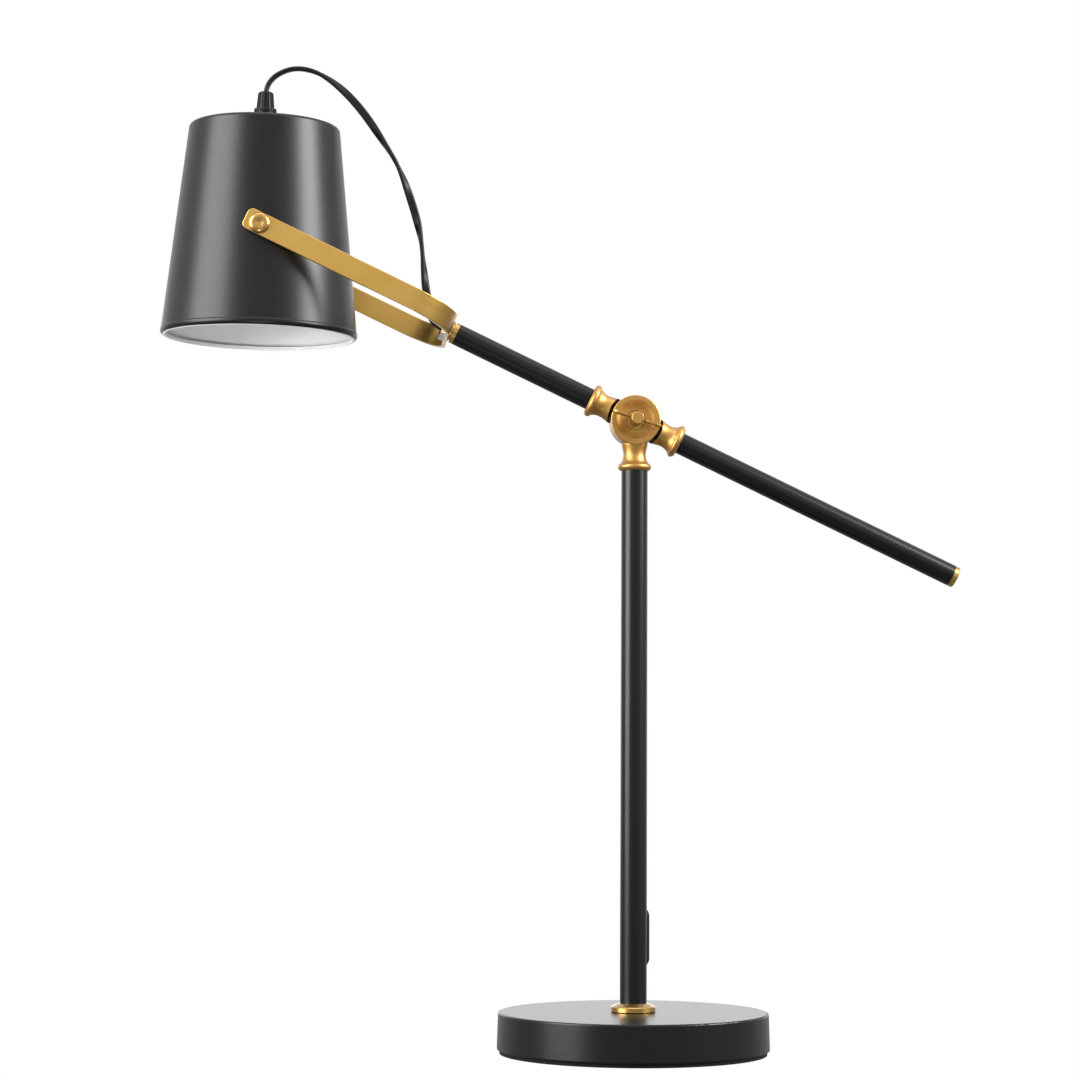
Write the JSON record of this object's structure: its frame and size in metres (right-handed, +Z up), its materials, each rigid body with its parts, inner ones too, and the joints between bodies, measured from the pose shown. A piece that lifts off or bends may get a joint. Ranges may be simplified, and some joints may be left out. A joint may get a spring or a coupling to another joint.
{
  "type": "desk lamp",
  "caption": "Desk lamp with a conical shade in a bent strap yoke on a tilting balanced arm, clamped to a post on a round weighted base.",
  "frame": {"origin": "centre of the base's underside, on the post's axis", "axes": "+Z up along the post, +X towards the arm's tail with the shade at -X, the clamp's wing screw faces -Y"},
  "size_m": [0.4836, 0.167, 0.5913],
  "materials": {
    "satin_black": "satin black powder coat",
    "shade_black": "satin black outside, white enamel inside",
    "antique_brass": "cast, satin antique gold",
    "satin_brass": "brushed satin",
    "bright_brass": "polished",
    "nickel": "nickel plated",
    "steel": "zinc plated",
    "cast_iron": "rough cast",
    "black_plastic": "moulded, satin",
    "nylon": "natural nylon",
    "porcelain": "glazed",
    "cord": "flexible black sheath",
    "pad": "closed foam pad"
  },
  "bodies": {
    "stand": {"base_cover": "satin_black", "base_weight": "cast_iron", "base_pad": "pad", "base_nipple": "steel", "base_washer": "steel", "base_nut": "steel", "cord_bushing": "black_plastic", "post_collar": "bright_brass", "post_foot": "steel", "post_tube": "satin_black", "post_knuckle": "antique_brass", "friction_washer": "nylon", "clamp_washer": "satin_brass", "switch_bezel": "black_plastic", "post_wire": "cord"},
    "rocker": {"switch_rocker": "black_plastic"},
    "wing_screw": {"wing_screw": "antique_brass"},
    "arm": {"arm_knuckle": "antique_brass", "knuckle_nut": "steel", "front_tube": "satin_black", "rear_tube": "satin_black", "tail_slug": "steel", "tail_cap": "bright_brass", "front_plug": "steel", "arm_ring": "bright_brass", "arm_wire": "cord"},
    "yoke": {"yoke_strap": "satin_brass", "yoke_washer": "bright_brass", "yoke_nut": "nickel", "yoke_nipple": "steel", "swivel_collar": "steel", "nipple_bush": "black_plastic"},
    "head": {"shade": "shade_black", "pivot_screw_front": "bright_brass", "pivot_screw_back": "bright_brass", "pivot_spacer_front": "nylon", "pivot_spacer_back": "nylon", "pivot_saddle_front": "nylon", "pivot_saddle_back": "nylon", "pivot_nut_front": "steel", "pivot_nut_back": "steel", "grip_body": "black_plastic", "grip_ring": "black_plastic", "grip_cap": "black_plastic", "holder_cap": "black_plastic", "holder_core": "porcelain", "holder_shell": "black_plastic", "thread_sleeve": "bright_brass", "centre_contact": "bright_brass", "holder_lead": "cord", "head_cord": "cord"}
  },
  "joints": [
    {"name": "arm_tilt", "type": "hinge", "parent": "stand", "child": "arm", "pos_m": [0, 0, 0.3779], "axis": [0, 1, 0], "range_deg": [-56, 8]},
    {"name": "yoke_swivel", "type": "hinge", "parent": "arm", "child": "yoke", "pos_m": [-0.11102, 0, 0.43062], "axis": [-0.9033, 0, 0.4289], "range_deg": [-90, 90]},
    {"name": "head_tilt", "type": "hinge", "parent": "yoke", "child": "head", "pos_m": [-0.22529, 0, 0.48488], "axis": [0, 1, 0], "range_deg": [-22, 90], "deforming": ["head_cord"]},
    {"name": "wing_turn", "type": "hinge", "parent": "stand", "child": "wing_screw", "pos_m": [0, 0, 0.3779], "axis": [0, -1, 0], "range_deg": [0, 180]},
    {"name": "switch_rock", "type": "hinge", "parent": "stand", "child": "rocker", "pos_m": [0.00396, 0.00396, 0.0684], "axis": [0.7071, -0.7071, 0], "range_deg": [0, 6]}
  ]
}
